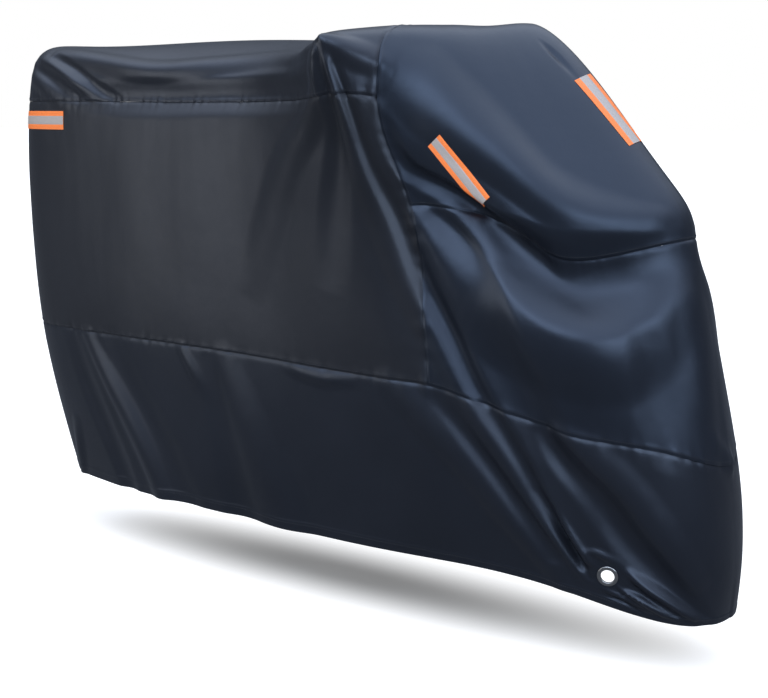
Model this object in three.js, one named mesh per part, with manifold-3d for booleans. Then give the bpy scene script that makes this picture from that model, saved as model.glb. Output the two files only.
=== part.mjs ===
// A fitted motorcycle cover of coated cloth as it hangs: roof, sides, hood, front and skirt
// sewn edge to edge, with lock eyelets in the front hem and strips of reflective tape.
import * as THREE from "three";
import { mergeVertices } from "three/addons/utils/BufferGeometryUtils.js";
import Module from "manifold-3d";

// Driving dimensions, in millimetres: x runs to the front, y to the left, heights are above the ground
const CLOTH = 2;
const SEAM_GAP = 0.4;
const REST_HEIGHT = 1348; // underside of the roof over the saddle, where the machine carries the cover

// Levels of the cover, by millimetres of cloth down from the crest
const LEVELS = { crest: 0, shoulder: 240, topSeam: 340, hoodEdge: 610, midSeam: 930, hem: 1340 };

// Ribs of the right half: round is millimetres round the waist from the centre back, and each level
// gives [x, half width, height]
const RIBS = [
  { rib: "rear", round: 0, crest: [-820, 0, 1338], shoulder: [-972, 0, 1318],
    topSeam: [-1002, 0, 1208], hoodEdge: [-1010, 0, 930],
    midSeam: [-988, 0, 600], hem: [-888, 0, 185] },
  { rib: "corner", round: 180, crest: [-812, 0, 1339], shoulder: [-932, 158, 1321],
    topSeam: [-962, 168, 1208], hoodEdge: [-968, 172, 930],
    midSeam: [-946, 168, 602], hem: [-846, 145, 186] },
  { rib: "tail", round: 350, crest: [-740, 0, 1346], shoulder: [-795, 205, 1312],
    topSeam: [-800, 222, 1208], hoodEdge: [-800, 232, 925],
    midSeam: [-790, 235, 606], hem: [-690, 210, 190] },
  { rib: "seat", round: 900, crest: [-250, 0, 1359], shoulder: [-260, 232, 1275],
    topSeam: [-260, 262, 1208], hoodEdge: [-255, 285, 920],
    midSeam: [-245, 300, 616], hem: [-230, 285, 205] },
  { rib: "tank", round: 1165, crest: [0, 0, 1350], shoulder: [-5, 268, 1280],
    topSeam: [0, 298, 1208], hoodEdge: [10, 305, 935],
    midSeam: [20, 312, 614], hem: [40, 288, 203] },
  { rib: "grip", round: 1485, crest: [225, 0, 1350], shoulder: [245, 330, 1300],
    topSeam: [270, 362, 1208], hoodEdge: [305, 325, 965],
    midSeam: [360, 315, 607], hem: [400, 275, 203] },
  { rib: "bars", round: 1575, crest: [300, 0, 1358], shoulder: [325, 285, 1317],
    topSeam: [335, 330, 1208], hoodEdge: [385, 290, 985],
    midSeam: [440, 300, 602], hem: [490, 265, 203] },
  { rib: "hood", round: 1850, crest: [440, 0, 1368], shoulder: [479, 196, 1290],
    topSeam: [545, 236, 1152], hoodEdge: [660, 262, 915],
    midSeam: [735, 255, 530], hem: [760, 215, 172] },
  { rib: "cheek", round: 2075, crest: [486, 0, 1374], shoulder: [580, 95, 1278],
    topSeam: [690, 122, 1123], hoodEdge: [802, 170, 895],
    midSeam: [940, 155, 492], hem: [960, 135, 122] },
  { rib: "nose", round: 2255, crest: [504, 0, 1374], shoulder: [646, 0, 1274],
    topSeam: [780, 0, 1116], hoodEdge: [908, 0, 921],
    midSeam: [1010, 0, 448], hem: [1026, 0, 112] },
];
const BARS = 6;
const HOOD = 7;
const FRONT = RIBS.length - 1;

// Facets between neighbouring ribs and between neighbouring levels
const RIB_STEPS = [4, 4, 12, 6, 9, 4, 11, 8, 5];
const LEVEL_STEPS = [3, 2, 5, 6, 8];
const HEM = { height: 25, thickness: 3 };

// Where hard ends of the machine lift the cloth to a point: reach is measured on the cloth
const PEAKS = [
  { peak: "right grip", round: 1470, drop: 236, reach: 240, forward: 12, out: 86, up: 40 },
  { peak: "left grip", round: -1470, drop: 236, reach: 240, forward: 12, out: 86, up: 40 },
];

// Folds of the right side and the front: each stop of the path is [round, drop, half width, rise]
const RIGHT_FOLDS = [
  { fold: "main ridge", path: [[1464, 290, 24, 4], [1468, 358, 34, 6], [1481, 490, 40, 7],
    [1511, 638, 42, 7], [1545, 762, 42, 7], [1590, 834, 42, 7], [1649, 914, 40, 7], [1723, 1002, 38, 7],
    [1786, 1100, 32, 7], [1830, 1185, 26, 7], [1872, 1276, 20, 2]] },
  { fold: "main valley", path: [[1490, 296, 20, -4], [1502, 362, 24, -6], [1516, 502, 26, -6],
    [1548, 650, 28, -8], [1583, 762, 31, -10], [1628, 826, 31, -11], [1687, 910, 31, -11],
    [1759, 998, 29, -10], [1812, 1118, 25, -10], [1850, 1190, 23, -9], [1888, 1266, 18, -2]] },
  { fold: "main recess", path: [[1606, 590, 40, -3], [1664, 670, 70, -15], [1704, 750, 80, -19],
    [1744, 818, 80, -19], [1786, 895, 74, -17], [1834, 980, 62, -13], [1866, 1090, 50, -8],
    [1890, 1175, 38, -3]] },
  { fold: "hood brow", path: [[1610, 292, 60, 6], [1685, 318, 95, 15], [1749, 342, 105, 22],
    [1809, 366, 110, 25], [1869, 398, 110, 25], [1933, 446, 100, 22], [2033, 490, 90, 15],
    [2149, 530, 70, 5]] },
  { fold: "hood trough", path: [[1585, 400, 34, -5], [1592, 470, 40, -11], [1612, 522, 48, -17],
    [1660, 556, 56, -28], [1715, 594, 66, -42], [1775, 628, 86, -52], [1850, 646, 108, -57],
    [1930, 652, 112, -55], [2056, 650, 106, -42], [2160, 640, 80, -14], [2255, 622, 50, 0]] },
  { fold: "swag", path: [[1592, 650, 44, 10], [1628, 694, 62, 20], [1712, 764, 95, 31],
    [1850, 778, 100, 27], [1984, 775, 95, 21], [2107, 742, 78, 10], [2200, 705, 60, 4],
    [2255, 690, 50, 0]] },
  { fold: "hood tuck", path: [[2140, 190, 16, -1], [2158, 216, 20, -5], [2176, 250, 16, -1]] },
  { fold: "tail crease", path: [[329, 230, 20, -4], [429, 262, 22, -9], [513, 298, 22, -9],
    [597, 334, 20, -4]] },
  { fold: "tail crease below", path: [[241, 258, 20, -4], [345, 286, 22, -8], [449, 334, 20, -4]] },
  { fold: "tail pleat", path: [[270, 240, 24, 4], [380, 270, 28, 9], [480, 312, 28, 8],
    [540, 340, 24, 2]] },
  { fold: "tail pleat below", path: [[225, 285, 26, 3], [310, 312, 28, 7], [400, 350, 24, 2]] },
  { fold: "shoulder roll", path: [[330, 205, 40, 4], [525, 220, 50, 12], [725, 236, 54, 15],
    [885, 215, 54, 14], [1040, 198, 52, 12], [1180, 195, 48, 10], [1390, 224, 36, 5]] },
  { fold: "shadow band", path: [[460, 332, 40, -4], [620, 328, 60, -14], [735, 326, 66, -17],
    [1007, 322, 66, -17], [1250, 322, 60, -14], [1390, 318, 40, -4]] },
  { fold: "grip fold", path: [[1440, 270, 30, 5], [1396, 340, 44, 11], [1262, 460, 62, 11],
    [1150, 640, 70, 7], [1085, 790, 60, 0]] },
  { fold: "grip hollow", path: [[1452, 285, 24, -5], [1438, 400, 40, -12], [1395, 560, 60, -10],
    [1350, 760, 60, 0]] },
  { fold: "tail skirt ridge", path: [[470, 940, 34, 5], [543, 1055, 48, 13], [633, 1201, 58, 14],
    [706, 1340, 62, 10]] },
  { fold: "tail skirt valley", path: [[395, 945, 44, -3], [435, 1091, 54, -8], [490, 1242, 58, -9],
    [522, 1340, 58, -7]] },
  { fold: "tail skirt hollow", path: [[580, 945, 50, -2], [665, 1090, 66, -6], [770, 1240, 72, -7],
    [830, 1340, 72, -5]] },
  { fold: "seam tuck", path: [[850, 934, 22, 3], [880, 975, 26, 6], [925, 1040, 30, 1]] },
  { fold: "seam pocket", path: [[1205, 942, 20, 2], [1290, 952, 24, 7], [1372, 946, 20, 2]] },
  { fold: "middle skirt ridge", path: [[1005, 945, 50, 3], [1078, 1115, 80, 9], [1156, 1340, 90, 10]] },
  { fold: "middle skirt valley", path: [[950, 960, 40, -2], [985, 1115, 64, -6], [1030, 1340, 70, -7]] },
  { fold: "front skirt ridge", path: [[1470, 940, 40, 3], [1560, 1000, 54, 7], [1655, 1070, 58, 9],
    [1722, 1150, 56, 9], [1785, 1245, 46, 7], [1825, 1320, 36, 4]] },
  { fold: "front skirt valley", path: [[1600, 950, 28, -3], [1700, 1045, 32, -9], [1762, 1140, 32, -9],
    [1812, 1240, 28, -4]] },
  { fold: "tail hem fold", path: [[312, 1190, 28, 3], [285, 1260, 30, 8], [252, 1340, 30, 6]] },
  { fold: "apron valley", path: [[1822, 944, 30, -6], [1845, 976, 40, -14], [1877, 1014, 48, -19],
    [1913, 1056, 54, -21], [1945, 1110, 56, -21], [1985, 1166, 56, -19], [2041, 1218, 52, -15],
    [2105, 1274, 44, -9], [2150, 1325, 36, -4]] },
  { fold: "apron ridge", path: [[1850, 936, 32, 5], [1905, 960, 50, 8], [1975, 1030, 60, 8],
    [2040, 1110, 60, 7], [2100, 1190, 56, 4]] },
  { fold: "pleat", path: [[1800, 1075, 16, -3], [1822, 1122, 18, -8], [1842, 1180, 18, -9],
    [1868, 1248, 14, -5]] },
  { fold: "second pleat", path: [[1828, 1110, 14, 3], [1852, 1165, 16, 8], [1880, 1225, 14, 4]] },
  { fold: "hem gather", path: [[1955, 1276, 14, 3], [2013, 1302, 18, 7], [2080, 1322, 16, 4]] },
  { fold: "hem gather above", path: [[1962, 1222, 14, 3], [2012, 1266, 20, 8], [2113, 1314, 18, 4]] },
  { fold: "nose hollow", path: [[2090, 770, 50, -5], [2084, 820, 62, -8], [2062, 915, 60, -5]] },
  { fold: "nose ridge", path: [[2215, 730, 50, 4], [2192, 815, 60, 7], [2168, 905, 56, 4]] },
  { fold: "nose tuck", path: [[2205, 900, 24, 4], [2255, 928, 26, 8]] },
];

// Folds of the left side, which hangs more plainly
const LEFT_FOLDS = [
  { fold: "main ridge", path: [[-1464, 290, 26, 4], [-1478, 450, 40, 7], [-1509, 640, 42, 7],
    [-1582, 820, 42, 7], [-1668, 940, 40, 7], [-1782, 1100, 34, 7], [-1868, 1270, 22, 2]] },
  { fold: "main valley", path: [[-1490, 300, 22, -4], [-1512, 480, 26, -7], [-1548, 650, 28, -8],
    [-1624, 826, 31, -11], [-1726, 960, 30, -11], [-1812, 1110, 26, -10], [-1886, 1250, 20, -2]] },
  { fold: "main recess", path: [[-1606, 590, 40, -3], [-1664, 670, 70, -15], [-1704, 750, 80, -19],
    [-1786, 895, 74, -17], [-1848, 1030, 58, -11], [-1890, 1175, 38, -3]] },
  { fold: "hood brow", path: [[-1640, 300, 75, 8], [-1760, 346, 106, 22], [-1869, 398, 110, 25],
    [-2000, 475, 96, 18], [-2149, 530, 70, 5]] },
  { fold: "hood trough", path: [[-1588, 420, 38, -6], [-1618, 530, 50, -20], [-1715, 594, 64, -42],
    [-1850, 646, 108, -57], [-2056, 650, 106, -42], [-2160, 640, 80, -14], [-2255, 622, 50, 0]] },
  { fold: "swag", path: [[-1620, 700, 56, 14], [-1712, 764, 95, 30], [-1870, 778, 100, 26],
    [-2080, 750, 84, 12], [-2255, 690, 50, 0]] },
  { fold: "shoulder roll", path: [[-420, 212, 44, 6], [-700, 230, 54, 14], [-1050, 205, 54, 12],
    [-1390, 224, 36, 5]] },
  { fold: "shadow band", path: [[-480, 330, 44, -5], [-850, 325, 66, -16], [-1250, 322, 60, -13],
    [-1390, 318, 40, -4]] },
  { fold: "tail crease", path: [[-320, 228, 20, -4], [-440, 268, 22, -9], [-580, 334, 20, -4]] },
  { fold: "grip fold", path: [[-1440, 270, 32, 5], [-1380, 360, 48, 12], [-1250, 520, 64, 11],
    [-1150, 720, 64, 0]] },
  { fold: "tail skirt ridge", path: [[-560, 945, 44, 5], [-640, 1110, 62, 13], [-730, 1340, 68, 12]] },
  { fold: "tail skirt valley", path: [[-470, 950, 44, -3], [-520, 1110, 58, -8], [-580, 1340, 60, -8]] },
  { fold: "middle skirt ridge", path: [[-1130, 945, 50, 4], [-1185, 1120, 84, 10],
    [-1240, 1340, 92, 11]] },
  { fold: "middle skirt valley", path: [[-1010, 955, 50, -3], [-1035, 1120, 70, -7],
    [-1060, 1340, 76, -8]] },
  { fold: "front skirt ridge", path: [[-1480, 945, 44, 3], [-1600, 1030, 58, 9], [-1715, 1160, 56, 9],
    [-1800, 1300, 44, 6]] },
  { fold: "apron valley", path: [[-1828, 950, 34, -7], [-1880, 1016, 50, -18], [-1950, 1110, 58, -20],
    [-2045, 1220, 54, -14], [-2150, 1325, 38, -4]] },
];

// Lock eyelets near the front hem, one on each side, each in a strip of the skirt that lies flat round it;
// the strip's edges are facets counted from the rib of the hood
const EYELET = { round: 1921, drop: 1249, hole: 29, barrel: 34, rim: 45, rimDepth: 1.7, clearance: 0.35 };
const LOCK_STRIP = { firstFacet: 1, lastFacet: 4, flat: 82, blend: 70 };

// Reflective tape; lift keeps it off the cloth
const TAPE = { thickness: 0.8, lift: 0.4, depth: 160 };
const TAIL_TAPE = { width: 48, height: 1158, front: -757, length: 400, span: 700 };
const HOOD_TAPES = [
  { tape: "tape_right", width: 38, start: [1702, 401], end: [1760, 547] },
  { tape: "tape_left", width: 38, start: [-1702, 401], end: [-1760, 547] },
  { tape: "tape_front", width: 56, start: [2207, 252], end: [2239, 338] },
];

// A smooth curve through values at knots; a flat end has no slope there, a free end no bend
function smoothCurve(knots, values, flatStart, flatEnd) {
  const n = knots.length;
  const gap = (i) => knots[i + 1] - knots[i];
  const rise = (i) => (values[i + 1] - values[i]) / gap(i);
  const diagonal = new Array(n).fill(1);
  const upper = new Array(n).fill(0);
  const right = new Array(n).fill(0);
  if (flatStart) [diagonal[0], upper[0], right[0]] = [2, 1, (6 * rise(0)) / gap(0)];
  for (let i = 1; i < n; i++) {
    let lower = 0;
    if (i < n - 1) {
      lower = gap(i - 1);
      [diagonal[i], upper[i]] = [2 * (gap(i - 1) + gap(i)), gap(i)];
      right[i] = 6 * (rise(i) - rise(i - 1));
    } else if (flatEnd) {
      lower = 1;
      [diagonal[i], right[i]] = [2, (-6 * rise(n - 2)) / gap(n - 2)];
    }
    const factor = lower / diagonal[i - 1];
    diagonal[i] -= factor * upper[i - 1];
    right[i] -= factor * right[i - 1];
  }
  const bend = new Array(n).fill(0);
  for (let i = n - 1; i >= 0; i--) {
    bend[i] = (right[i] - (i < n - 1 ? upper[i] * bend[i + 1] : 0)) / diagonal[i];
  }
  return (at) => {
    let i = 0;
    while (i < n - 2 && at > knots[i + 1]) i++;
    const h = gap(i);
    const b = (at - knots[i]) / h;
    const a = 1 - b;
    const curl = ((a ** 3 - a) * bend[i] + (b ** 3 - b) * bend[i + 1]) * (h * h) / 6;
    return a * values[i] + b * values[i + 1] + curl;
  };
}

// The bare form, without folds: round is signed, positive on the right, and drop runs down the cloth
const levelNames = Object.keys(LEVELS);
const drops = Object.values(LEVELS);
const rounds = RIBS.map((rib) => rib.round);
const loops = levelNames.map((name) =>
  [0, 1, 2].map((axis) => smoothCurve(rounds, RIBS.map((rib) => rib[name][axis]), axis !== 1, axis !== 1)));

function bareRib(round) {
  const across = [0, 1, 2].map((axis) => loops.map((loop) => loop[axis](Math.abs(round))));
  const down = across.map((values, axis) => smoothCurve(drops, values, axis !== 1, false));
  const side = round < 0 ? 1 : -1;
  return (drop) => new THREE.Vector3(down[0](drop), side * down[1](drop), down[2](drop));
}

// How far the folds push the cloth out at one place
function foldRise(folds, columnRound, drop) {
  const girth = rounds[FRONT];
  let sum = 0;
  for (const { path } of folds) {
    // A fold near the nose goes on across the centre line
    const turns = Math.round((columnRound - path[0][0]) / (2 * girth));
    const round = columnRound - 2 * girth * turns;
    let best = { gap: Infinity };
    for (let k = 0; k < path.length - 1; k++) {
      const [r0, d0, half0, rise0] = path[k];
      const [r1, d1, half1, rise1] = path[k + 1];
      const along = [r1 - r0, d1 - d0];
      const reach = (round - r0) * along[0] + (drop - d0) * along[1];
      const t = Math.min(1, Math.max(0, reach / (along[0] ** 2 + along[1] ** 2)));
      const gap = Math.hypot(round - r0 - t * along[0], drop - d0 - t * along[1]);
      if (gap < best.gap) {
        best = { gap, half: half0 + t * (half1 - half0), rise: rise0 + t * (rise1 - rise0) };
      }
    }
    const q = best.gap / best.half;
    if (q < 1) sum += best.rise * (1 - q * q) ** 2;
  }
  return sum;
}

const smoothStep = (t) => t * t * (3 - 2 * t);

// Rows and columns of the facets: columns run from the front centre by the left side and back to the right
const spread = (knots, steps) => steps.flatMap((count, k) =>
  Array.from({ length: count }, (_, s) => knots[k] + ((knots[k + 1] - knots[k]) * s) / count));
const half = [...spread(rounds, RIB_STEPS), rounds[FRONT]];
const columns = [...half.slice(1).reverse().map((round) => -round), ...half];
const hemTurn = LEVELS.hem - HEM.height;
const rows = [...spread([...drops.slice(0, -1), hemTurn], LEVEL_STEPS), hemTurn, LEVELS.hem];
const WRAP = columns.length - 1;
const BACK = WRAP / 2;
const ROWS = rows.length;
const columnOf = (round) => columns.findIndex((at) => Math.abs(at - round) < 1e-6);
const rowOf = (drop) => rows.findIndex((at) => Math.abs(at - drop) < 1e-6);

// Corners of the facets are shared across the crest and where the ring of columns closes
function corner(i, j) {
  let column = i % WRAP;
  if (j === 0 && column > BACK) column = WRAP - column;
  return column * ROWS + j;
}
const quad = (i, j) => [corner(i, j), corner(i, j + 1), corner(i + 1, j + 1), corner(i + 1, j)];
function cells(fromRound, toRound, fromDrop, toDrop) {
  const list = [];
  for (let i = columnOf(fromRound); i < columnOf(toRound); i++) {
    for (let j = rowOf(fromDrop); j < rowOf(toDrop); j++) list.push(quad(i, j));
  }
  return list;
}
const girth = rounds[FRONT];
const everyCell = cells(-girth, girth, LEVELS.crest, LEVELS.hem);

// Outward direction at every corner, from the facets round it
function outward(points) {
  const normals = points.map(() => new THREE.Vector3());
  for (const [a, b, c, d] of everyCell) {
    const across = new THREE.Vector3().subVectors(points[c], points[a]);
    const other = new THREE.Vector3().subVectors(points[d], points[b]);
    const face = across.cross(other);
    for (const k of new Set([a, b, c, d])) normals[k].add(face);
  }
  return normals.map((normal) => normal.normalize());
}

// The bare form with its peaks, then with its folds
const bare = [];
const place = [];
for (const round of columns.slice(0, WRAP)) {
  const rib = bareRib(round);
  for (const drop of rows) {
    const point = rib(drop);
    for (const peak of PEAKS) {
      const near = Math.hypot(round - peak.round, drop - peak.drop) / peak.reach;
      const lift = near < 1 ? (1 - near) ** 2 : 0;
      const side = peak.round < 0 ? 1 : -1;
      point.add(new THREE.Vector3(peak.forward, side * peak.out, peak.up).multiplyScalar(lift));
    }
    bare.push(point);
    place.push([round, drop]);
  }
}
const bareOut = outward(bare);
const FOLDS = [...RIGHT_FOLDS, ...LEFT_FOLDS];
const rises = place.map(([round, drop]) => (drop > 0 ? foldRise(FOLDS, round, drop) : 0));
const cloth = bare.map((point, k) => point.clone().addScaledVector(bareOut[k], rises[k]));

// The cloth lies flat round each eyelet: a seat has its centre and the directions across, up and out
function eyeletSeat(side) {
  const at = (round, drop) => bareRib(side * round)(drop);
  const origin = at(EYELET.round, EYELET.drop);
  const across = at(EYELET.round + side, EYELET.drop).sub(at(EYELET.round - side, EYELET.drop)).normalize();
  const rough = at(EYELET.round, EYELET.drop - 1).sub(origin);
  const out = new THREE.Vector3().crossVectors(across, rough).normalize();
  const up = new THREE.Vector3().crossVectors(out, across);
  return new THREE.Matrix4().makeBasis(across, up, out).setPosition(origin);
}
const seats = { right: eyeletSeat(1), left: eyeletSeat(-1) };
for (const [name, seat] of Object.entries(seats)) {
  const side = name === "right" ? 1 : -1;
  const out = new THREE.Vector3().setFromMatrixColumn(seat, 2);
  const origin = new THREE.Vector3().setFromMatrixPosition(seat);
  cloth.forEach((point, k) => {
    const away = Math.max(Math.abs(place[k][0] - side * EYELET.round), Math.abs(place[k][1] - EYELET.drop));
    const keep = Math.min(1, Math.max(0, (away - LOCK_STRIP.flat) / LOCK_STRIP.blend));
    const height = out.dot(new THREE.Vector3().subVectors(point, origin));
    point.addScaledVector(out, -height * (1 - smoothStep(keep)));
  });
}
const clothOut = outward(cloth);

// A sheet solid over a set of facets, from a lift off the cloth's face to a depth under it; its border is
// drawn in so that neighbours stay apart
function sheet(facets, lift, depthAt, drawIn) {
  const border = new Map();
  for (const facet of facets) {
    facet.forEach((a, k) => {
      const b = facet[(k + 1) % 4];
      if (a === b) return;
      const back = `${b}>${a}`;
      if (border.has(back)) border.delete(back);
      else border.set(`${a}>${b}`, [a, b]);
    });
  }
  const inward = new Map();
  for (const [a, b] of border.values()) {
    for (const k of [a, b]) {
      const edge = new THREE.Vector3().subVectors(cloth[b], cloth[a]);
      const aside = new THREE.Vector3().crossVectors(clothOut[k], edge).normalize();
      inward.set(k, [...(inward.get(k) ?? []), aside]);
    }
  }
  const used = [...new Set(facets.flat())];
  const index = new Map(used.map((k, n) => [k, n]));
  const outer = [];
  const inner = [];
  for (const k of used) {
    const point = cloth[k].clone();
    const asides = inward.get(k);
    if (asides) {
      const sum = asides.reduce((total, aside) => total.add(aside), new THREE.Vector3()).normalize();
      point.addScaledVector(sum, drawIn / Math.max(0.5, sum.dot(asides[0])));
    }
    outer.push(point.clone().addScaledVector(clothOut[k], lift));
    inner.push(point.clone().addScaledVector(clothOut[k], -depthAt(place[k][1])));
  }
  const faces = [];
  const face = (a, b, c) => {
    if (a !== b && b !== c && c !== a) faces.push([a, b, c]);
  };
  const count = used.length;
  for (const facet of facets) {
    // A facet bends along its diagonal of even rise, so that folds run clean
    const [riseA, riseB, riseC, riseD] = facet.map((k) => rises[k]);
    const steep = Math.abs(riseA - riseC) > Math.abs(riseB - riseD);
    const turned = steep ? [...facet.slice(1), facet[0]] : facet;
    const [a, b, c, d] = turned.map((k) => index.get(k));
    face(a, b, c);
    face(a, c, d);
    face(count + a, count + c, count + b);
    face(count + a, count + d, count + c);
  }
  for (const [from, to] of border.values()) {
    const [a, b] = [index.get(from), index.get(to)];
    face(b, a, from < to ? count + b : count + a);
    face(from < to ? a : b, count + a, count + b);
  }
  return { points: [...outer, ...inner], faces };
}

// Between solids and geometry
const wasm = await Module();
wasm.setup();
function solidOf({ points, faces }) {
  const vertProperties = Float32Array.from(points.flatMap((point) => point.toArray()));
  const triVerts = Uint32Array.from(faces.flat());
  return new wasm.Manifold(new wasm.Mesh({ numProp: 3, vertProperties, triVerts }));
}
function solidOfGeometry(geometry) {
  const bareGeometry = new THREE.BufferGeometry();
  bareGeometry.setAttribute("position", geometry.getAttribute("position"));
  bareGeometry.setIndex(geometry.getIndex());
  const merged = mergeVertices(bareGeometry, 1e-4);
  const position = merged.getAttribute("position");
  const pointAt = (_, k) => new THREE.Vector3().fromBufferAttribute(position, k);
  const points = Array.from({ length: position.count }, pointAt);
  const index = merged.getIndex().array;
  const faces = Array.from({ length: index.length / 3 }, (_, k) => [...index.slice(3 * k, 3 * k + 3)]);
  return solidOf({ points, faces: faces.filter(([a, b, c]) => a !== b && b !== c && c !== a) });
}
function geometryOf(solid) {
  const mesh = solid.getMesh();
  const geometry = new THREE.BufferGeometry();
  geometry.setAttribute("position", new THREE.BufferAttribute(new Float32Array(mesh.vertProperties), 3));
  geometry.setIndex(new THREE.BufferAttribute(new Uint32Array(mesh.triVerts), 1));
  geometry.computeVertexNormals();
  return geometry;
}

// Looks of the pieces
const clothLook = (color) => new THREE.MeshStandardMaterial({ color, roughness: 0.48, metalness: 0 });
const metalLook = new THREE.MeshStandardMaterial({ color: 0x9a9a9c, roughness: 0.32, metalness: 0.9 });
const tapeLook = new THREE.MeshStandardMaterial({ color: 0xee8a3c, roughness: 0.45, metalness: 0 });

const cover = new THREE.Group();
cover.name = "cover";
cover.position.z = -REST_HEIGHT;
function add(name, geometry, material) {
  const mesh = new THREE.Mesh(geometry, material);
  mesh.name = name;
  cover.add(mesh);
}

// Panels of cloth
const bars = rounds[BARS];
const panelDepth = (drop) => (drop >= hemTurn ? HEM.thickness : CLOTH);
const panel = (facets) => solidOf(sheet(facets, 0, panelDepth, SEAM_GAP / 2));
const frontCells = (fromDrop, toDrop) =>
  [...cells(bars, girth, fromDrop, toDrop), ...cells(-girth, -bars, fromDrop, toDrop)];
const sideCells = cells(-bars, bars, LEVELS.topSeam, LEVELS.midSeam);
const hoodCells = frontCells(LEVELS.crest, LEVELS.hoodEdge);
add("top_panel", geometryOf(panel(cells(-bars, bars, LEVELS.crest, LEVELS.topSeam))), clothLook(0x30333c));
add("side_panel", geometryOf(panel(sideCells)), clothLook(0x2e3036));
add("hood", geometryOf(panel(hoodCells)), clothLook(0x2f3646));
add("front_panel", geometryOf(panel(frontCells(LEVELS.hoodEdge, LEVELS.midSeam))), clothLook(0x2c3445));

// Skirt: the main length, the nose, and between them the strips that hold the eyelets
const stripEdges = [LOCK_STRIP.firstFacet, LOCK_STRIP.lastFacet].map((facet) =>
  rounds[HOOD] + ((rounds[HOOD + 1] - rounds[HOOD]) * facet) / RIB_STEPS[HOOD]);
const skirtCells = (from, to) => cells(from, to, LEVELS.midSeam, LEVELS.hem);
const [stripBack, stripFront] = stripEdges;
const noseCells = [...skirtCells(stripFront, girth), ...skirtCells(-girth, -stripFront)];
add("skirt", geometryOf(panel(skirtCells(-stripBack, stripBack))), clothLook(0x26282f));
add("front_skirt", geometryOf(panel(noseCells)), clothLook(0x2a2f3c));

// Lock strip with its hole, and the eyelet clamped through it
for (const [name, seat] of Object.entries(seats)) {
  const holeRadius = EYELET.barrel / 2 + EYELET.clearance;
  const hole = new THREE.CylinderGeometry(holeRadius, holeRadius, 8 * CLOTH, 32);
  hole.rotateX(Math.PI / 2).applyMatrix4(seat);
  const edges = name === "right" ? [stripBack, stripFront] : [-stripFront, -stripBack];
  const strip = panel(skirtCells(...edges)).subtract(solidOfGeometry(hole));
  add(`lock_strip_${name}`, geometryOf(strip), clothLook(0x282b34));

  const top = EYELET.clearance;
  const bottom = -CLOTH - EYELET.clearance;
  const bevel = EYELET.rimDepth / 2;
  const profile = [
    [EYELET.hole / 2, bottom - EYELET.rimDepth], [EYELET.rim / 2, bottom - EYELET.rimDepth],
    [EYELET.rim / 2, bottom], [EYELET.barrel / 2, bottom], [EYELET.barrel / 2, top], [EYELET.rim / 2, top],
    [EYELET.rim / 2, top + EYELET.rimDepth - bevel], [EYELET.rim / 2 - bevel, top + EYELET.rimDepth],
    [EYELET.hole / 2 + bevel, top + EYELET.rimDepth], [EYELET.hole / 2, top + EYELET.rimDepth - bevel],
  ].map(([radius, height]) => new THREE.Vector2(radius, height));
  const ring = new THREE.LatheGeometry([...profile, profile[0]], 32);
  ring.rotateX(Math.PI / 2).applyMatrix4(seat);
  add(`eyelet_${name}`, ring, metalLook);
}

// Reflective tapes: a skin over the cloth, cut to the strip's outline
function tape(facets, frame, length, width, depth) {
  const outline = new THREE.BoxGeometry(length, width, depth).applyMatrix4(frame);
  const skin = sheet(facets, TAPE.lift + TAPE.thickness, () => -TAPE.lift, SEAM_GAP);
  return geometryOf(solidOf(skin).intersect(solidOfGeometry(outline)));
}
function hoodTape({ tape: name, width, start, end }) {
  const at = ([round, drop]) => bareRib(round)(drop);
  const along = at(end).sub(at(start));
  const length = along.length();
  const middle = [0, 1].map((k) => (start[k] + end[k]) / 2);
  const across = at([middle[0] - 1, middle[1]]).sub(at([middle[0] + 1, middle[1]]));
  const out = new THREE.Vector3().crossVectors(along.normalize(), across).normalize();
  const aside = new THREE.Vector3().crossVectors(out, along);
  const centre = at(start).add(at(end)).multiplyScalar(0.5);
  const frame = new THREE.Matrix4().makeBasis(along, aside, out).setPosition(centre);
  add(name, tape(hoodCells, frame, length, width, TAPE.depth), tapeLook);
}
HOOD_TAPES.forEach(hoodTape);

const tailEnd = new THREE.Matrix4().makeRotationX(Math.PI / 2);
tailEnd.setPosition(TAIL_TAPE.front - TAIL_TAPE.length / 2, 0, TAIL_TAPE.height);
const { length, width, span } = TAIL_TAPE;
add("tape_tail", tape(sideCells, tailEnd, length, width, span), tapeLook);

export default cover;
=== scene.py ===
import math

import bpy
import numpy as np
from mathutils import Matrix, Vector
from mathutils.bvhtree import BVHTree


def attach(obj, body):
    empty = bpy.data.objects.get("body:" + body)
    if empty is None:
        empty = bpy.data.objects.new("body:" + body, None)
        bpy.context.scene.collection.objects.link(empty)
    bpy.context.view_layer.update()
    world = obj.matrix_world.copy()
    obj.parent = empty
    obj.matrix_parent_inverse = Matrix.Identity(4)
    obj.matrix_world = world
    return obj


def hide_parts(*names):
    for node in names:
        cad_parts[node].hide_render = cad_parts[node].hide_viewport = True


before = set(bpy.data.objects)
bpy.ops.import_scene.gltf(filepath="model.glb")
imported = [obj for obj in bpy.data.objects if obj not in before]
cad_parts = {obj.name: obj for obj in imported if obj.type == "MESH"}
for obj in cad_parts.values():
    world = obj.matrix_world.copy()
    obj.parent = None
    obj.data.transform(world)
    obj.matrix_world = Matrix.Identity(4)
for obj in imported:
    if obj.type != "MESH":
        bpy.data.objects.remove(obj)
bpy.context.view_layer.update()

MM = 0.001

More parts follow.
